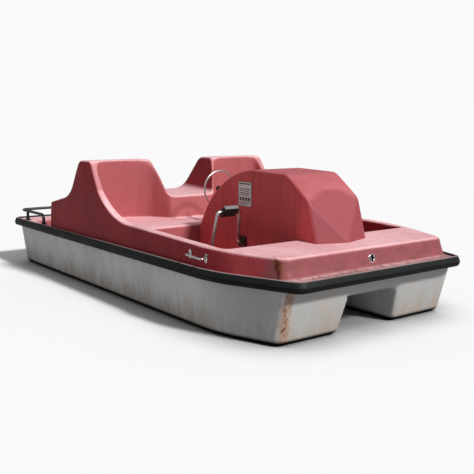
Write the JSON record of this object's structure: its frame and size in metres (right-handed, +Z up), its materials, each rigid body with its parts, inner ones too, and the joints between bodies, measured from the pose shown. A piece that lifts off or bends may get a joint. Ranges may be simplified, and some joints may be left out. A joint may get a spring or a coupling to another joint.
{
  "type": "pedal boat",
  "caption": "Twin-hull pedal boat with side-by-side seats, bent crank with pedals, enclosed paddle wheel, steering wheel and rudder.",
  "frame": {"origin": "centre of the bounding box, on the ground plane under the two hulls", "axes": "+X to the bow, +Y to port, +Z up"},
  "size_m": [3.332, 1.608, 0.858],
  "materials": {
    "gelcoat_white": "satin",
    "gelcoat_red": "satin",
    "rail_rubber": "matte",
    "rail_tube": "satin",
    "chrome": "polished",
    "bright_steel": "satin",
    "fastener_steel": "satin",
    "black_plastic": "satin",
    "pedal_plastic": "matte",
    "plate": "satin",
    "foam": "matte",
    "wheel_alloy": "satin",
    "cable_steel": "satin"
  },
  "bodies": {
    "boat": {"bow_eye": "chrome", "bow_eye_pin": "chrome", "buoyancy_foam_port": "foam", "buoyancy_foam_starboard": "foam", "column_bearing": "black_plastic", "crank_bearing_bolts": "fastener_steel", "crank_bearing_caps": "black_plastic", "crank_bearing_port_inner": "black_plastic", "crank_bearing_port_outer": "black_plastic", "crank_bearing_starboard_inner": "black_plastic", "crank_bearing_starboard_outer": "black_plastic", "deck_shell": "gelcoat_red", "drain_plugs": "black_plastic", "fitting_screws": "fastener_steel", "grab_handle_port": "chrome", "grab_handle_starboard": "chrome", "housing_screws": "fastener_steel", "hull_shell": "gelcoat_white", "info_plate": "plate", "paddle_housing": "gelcoat_red", "pulley_bracket": "wheel_alloy", "rub_rail": "rail_rubber", "rub_rail_screws": "fastener_steel", "rudder_bushes": "black_plastic", "steering_cables": "cable_steel", "stern_rail": "rail_tube", "stern_rail_sockets": "black_plastic"},
    "crank": {"crankshaft": "bright_steel", "crank_collars": "black_plastic", "paddle_wheel_hub": "wheel_alloy", "paddle_disc_starboard": "wheel_alloy", "paddle_disc_port": "wheel_alloy", "paddle_wheel_bolts": "fastener_steel", "paddle_blade_1": "wheel_alloy", "paddle_blade_2": "wheel_alloy", "paddle_blade_3": "wheel_alloy", "paddle_blade_4": "wheel_alloy", "paddle_blade_5": "wheel_alloy", "paddle_blade_6": "wheel_alloy"},
    "steering_wheel": {"steering_wheel_rim": "bright_steel", "steering_wheel_spider": "bright_steel", "steering_column": "bright_steel", "cable_drum": "black_plastic"},
    "rudder": {"rudder_cable_wheel": "black_plastic", "rudder_stock": "bright_steel", "rudder_blade": "wheel_alloy"},
    "pulley_port": {"turning_pulley_port": "black_plastic"},
    "pulley_starboard": {"turning_pulley_starboard": "black_plastic"},
    "pedal_starboard_inner": {"pedal_starboard_inner_face": "pedal_plastic", "pedal_starboard_inner_back": "pedal_plastic", "pedal_starboard_inner_bolts": "fastener_steel"},
    "pedal_starboard_outer": {"pedal_starboard_outer_face": "pedal_plastic", "pedal_starboard_outer_back": "pedal_plastic", "pedal_starboard_outer_bolts": "fastener_steel"},
    "pedal_port_inner": {"pedal_port_inner_face": "pedal_plastic", "pedal_port_inner_back": "pedal_plastic", "pedal_port_inner_bolts": "fastener_steel"},
    "pedal_port_outer": {"pedal_port_outer_face": "pedal_plastic", "pedal_port_outer_back": "pedal_plastic", "pedal_port_outer_bolts": "fastener_steel"}
  },
  "joints": [
    {"name": "crank_spin", "type": "hinge", "parent": "boat", "child": "crank", "pos_m": [0.655, 0, 0.391], "axis": [0, 1, 0], "continuous": true},
    {"name": "pedal_starboard_inner_spin", "type": "hinge", "parent": "crank", "child": "pedal_starboard_inner", "pos_m": [0.672, -0.312, 0.58526], "axis": [0, 1, 0], "continuous": true},
    {"name": "pedal_starboard_outer_spin", "type": "hinge", "parent": "crank", "child": "pedal_starboard_outer", "pos_m": [0.63801, -0.5335, 0.19674], "axis": [0, 1, 0], "continuous": true},
    {"name": "pedal_port_inner_spin", "type": "hinge", "parent": "crank", "child": "pedal_port_inner", "pos_m": [0.63801, 0.312, 0.19674], "axis": [0, 1, 0], "continuous": true},
    {"name": "pedal_port_outer_spin", "type": "hinge", "parent": "crank", "child": "pedal_port_outer", "pos_m": [0.672, 0.5335, 0.58526], "axis": [0, 1, 0], "continuous": true},
    {"name": "steering_turn", "type": "hinge", "parent": "boat", "child": "steering_wheel", "pos_m": [0.134, 0, 0.667], "axis": [1, 0, 0], "range_deg": [-110, 110]},
    {"name": "pulley_port_turn", "type": "hinge", "parent": "boat", "child": "pulley_port", "pos_m": [0.2505, 0.016, 0.235], "axis": [0, 1, 0], "range_deg": [-112, 112]},
    {"name": "pulley_starboard_turn", "type": "hinge", "parent": "boat", "child": "pulley_starboard", "pos_m": [0.2615, -0.016, 0.241], "axis": [0, 1, 0], "range_deg": [-112, 112]},
    {"name": "rudder_turn", "type": "hinge", "parent": "boat", "child": "rudder", "pos_m": [-1.47, 0, 0.11], "axis": [0, 0, 1], "range_deg": [-30, 30]}
  ],
  "couplings": [
    {"joint": "pulley_port_turn", "follows": "steering_turn", "ratio": -1},
    {"joint": "pulley_starboard_turn", "follows": "steering_turn", "ratio": 1},
    {"joint": "rudder_turn", "follows": "steering_turn", "ratio": 0.26667}
  ]
}
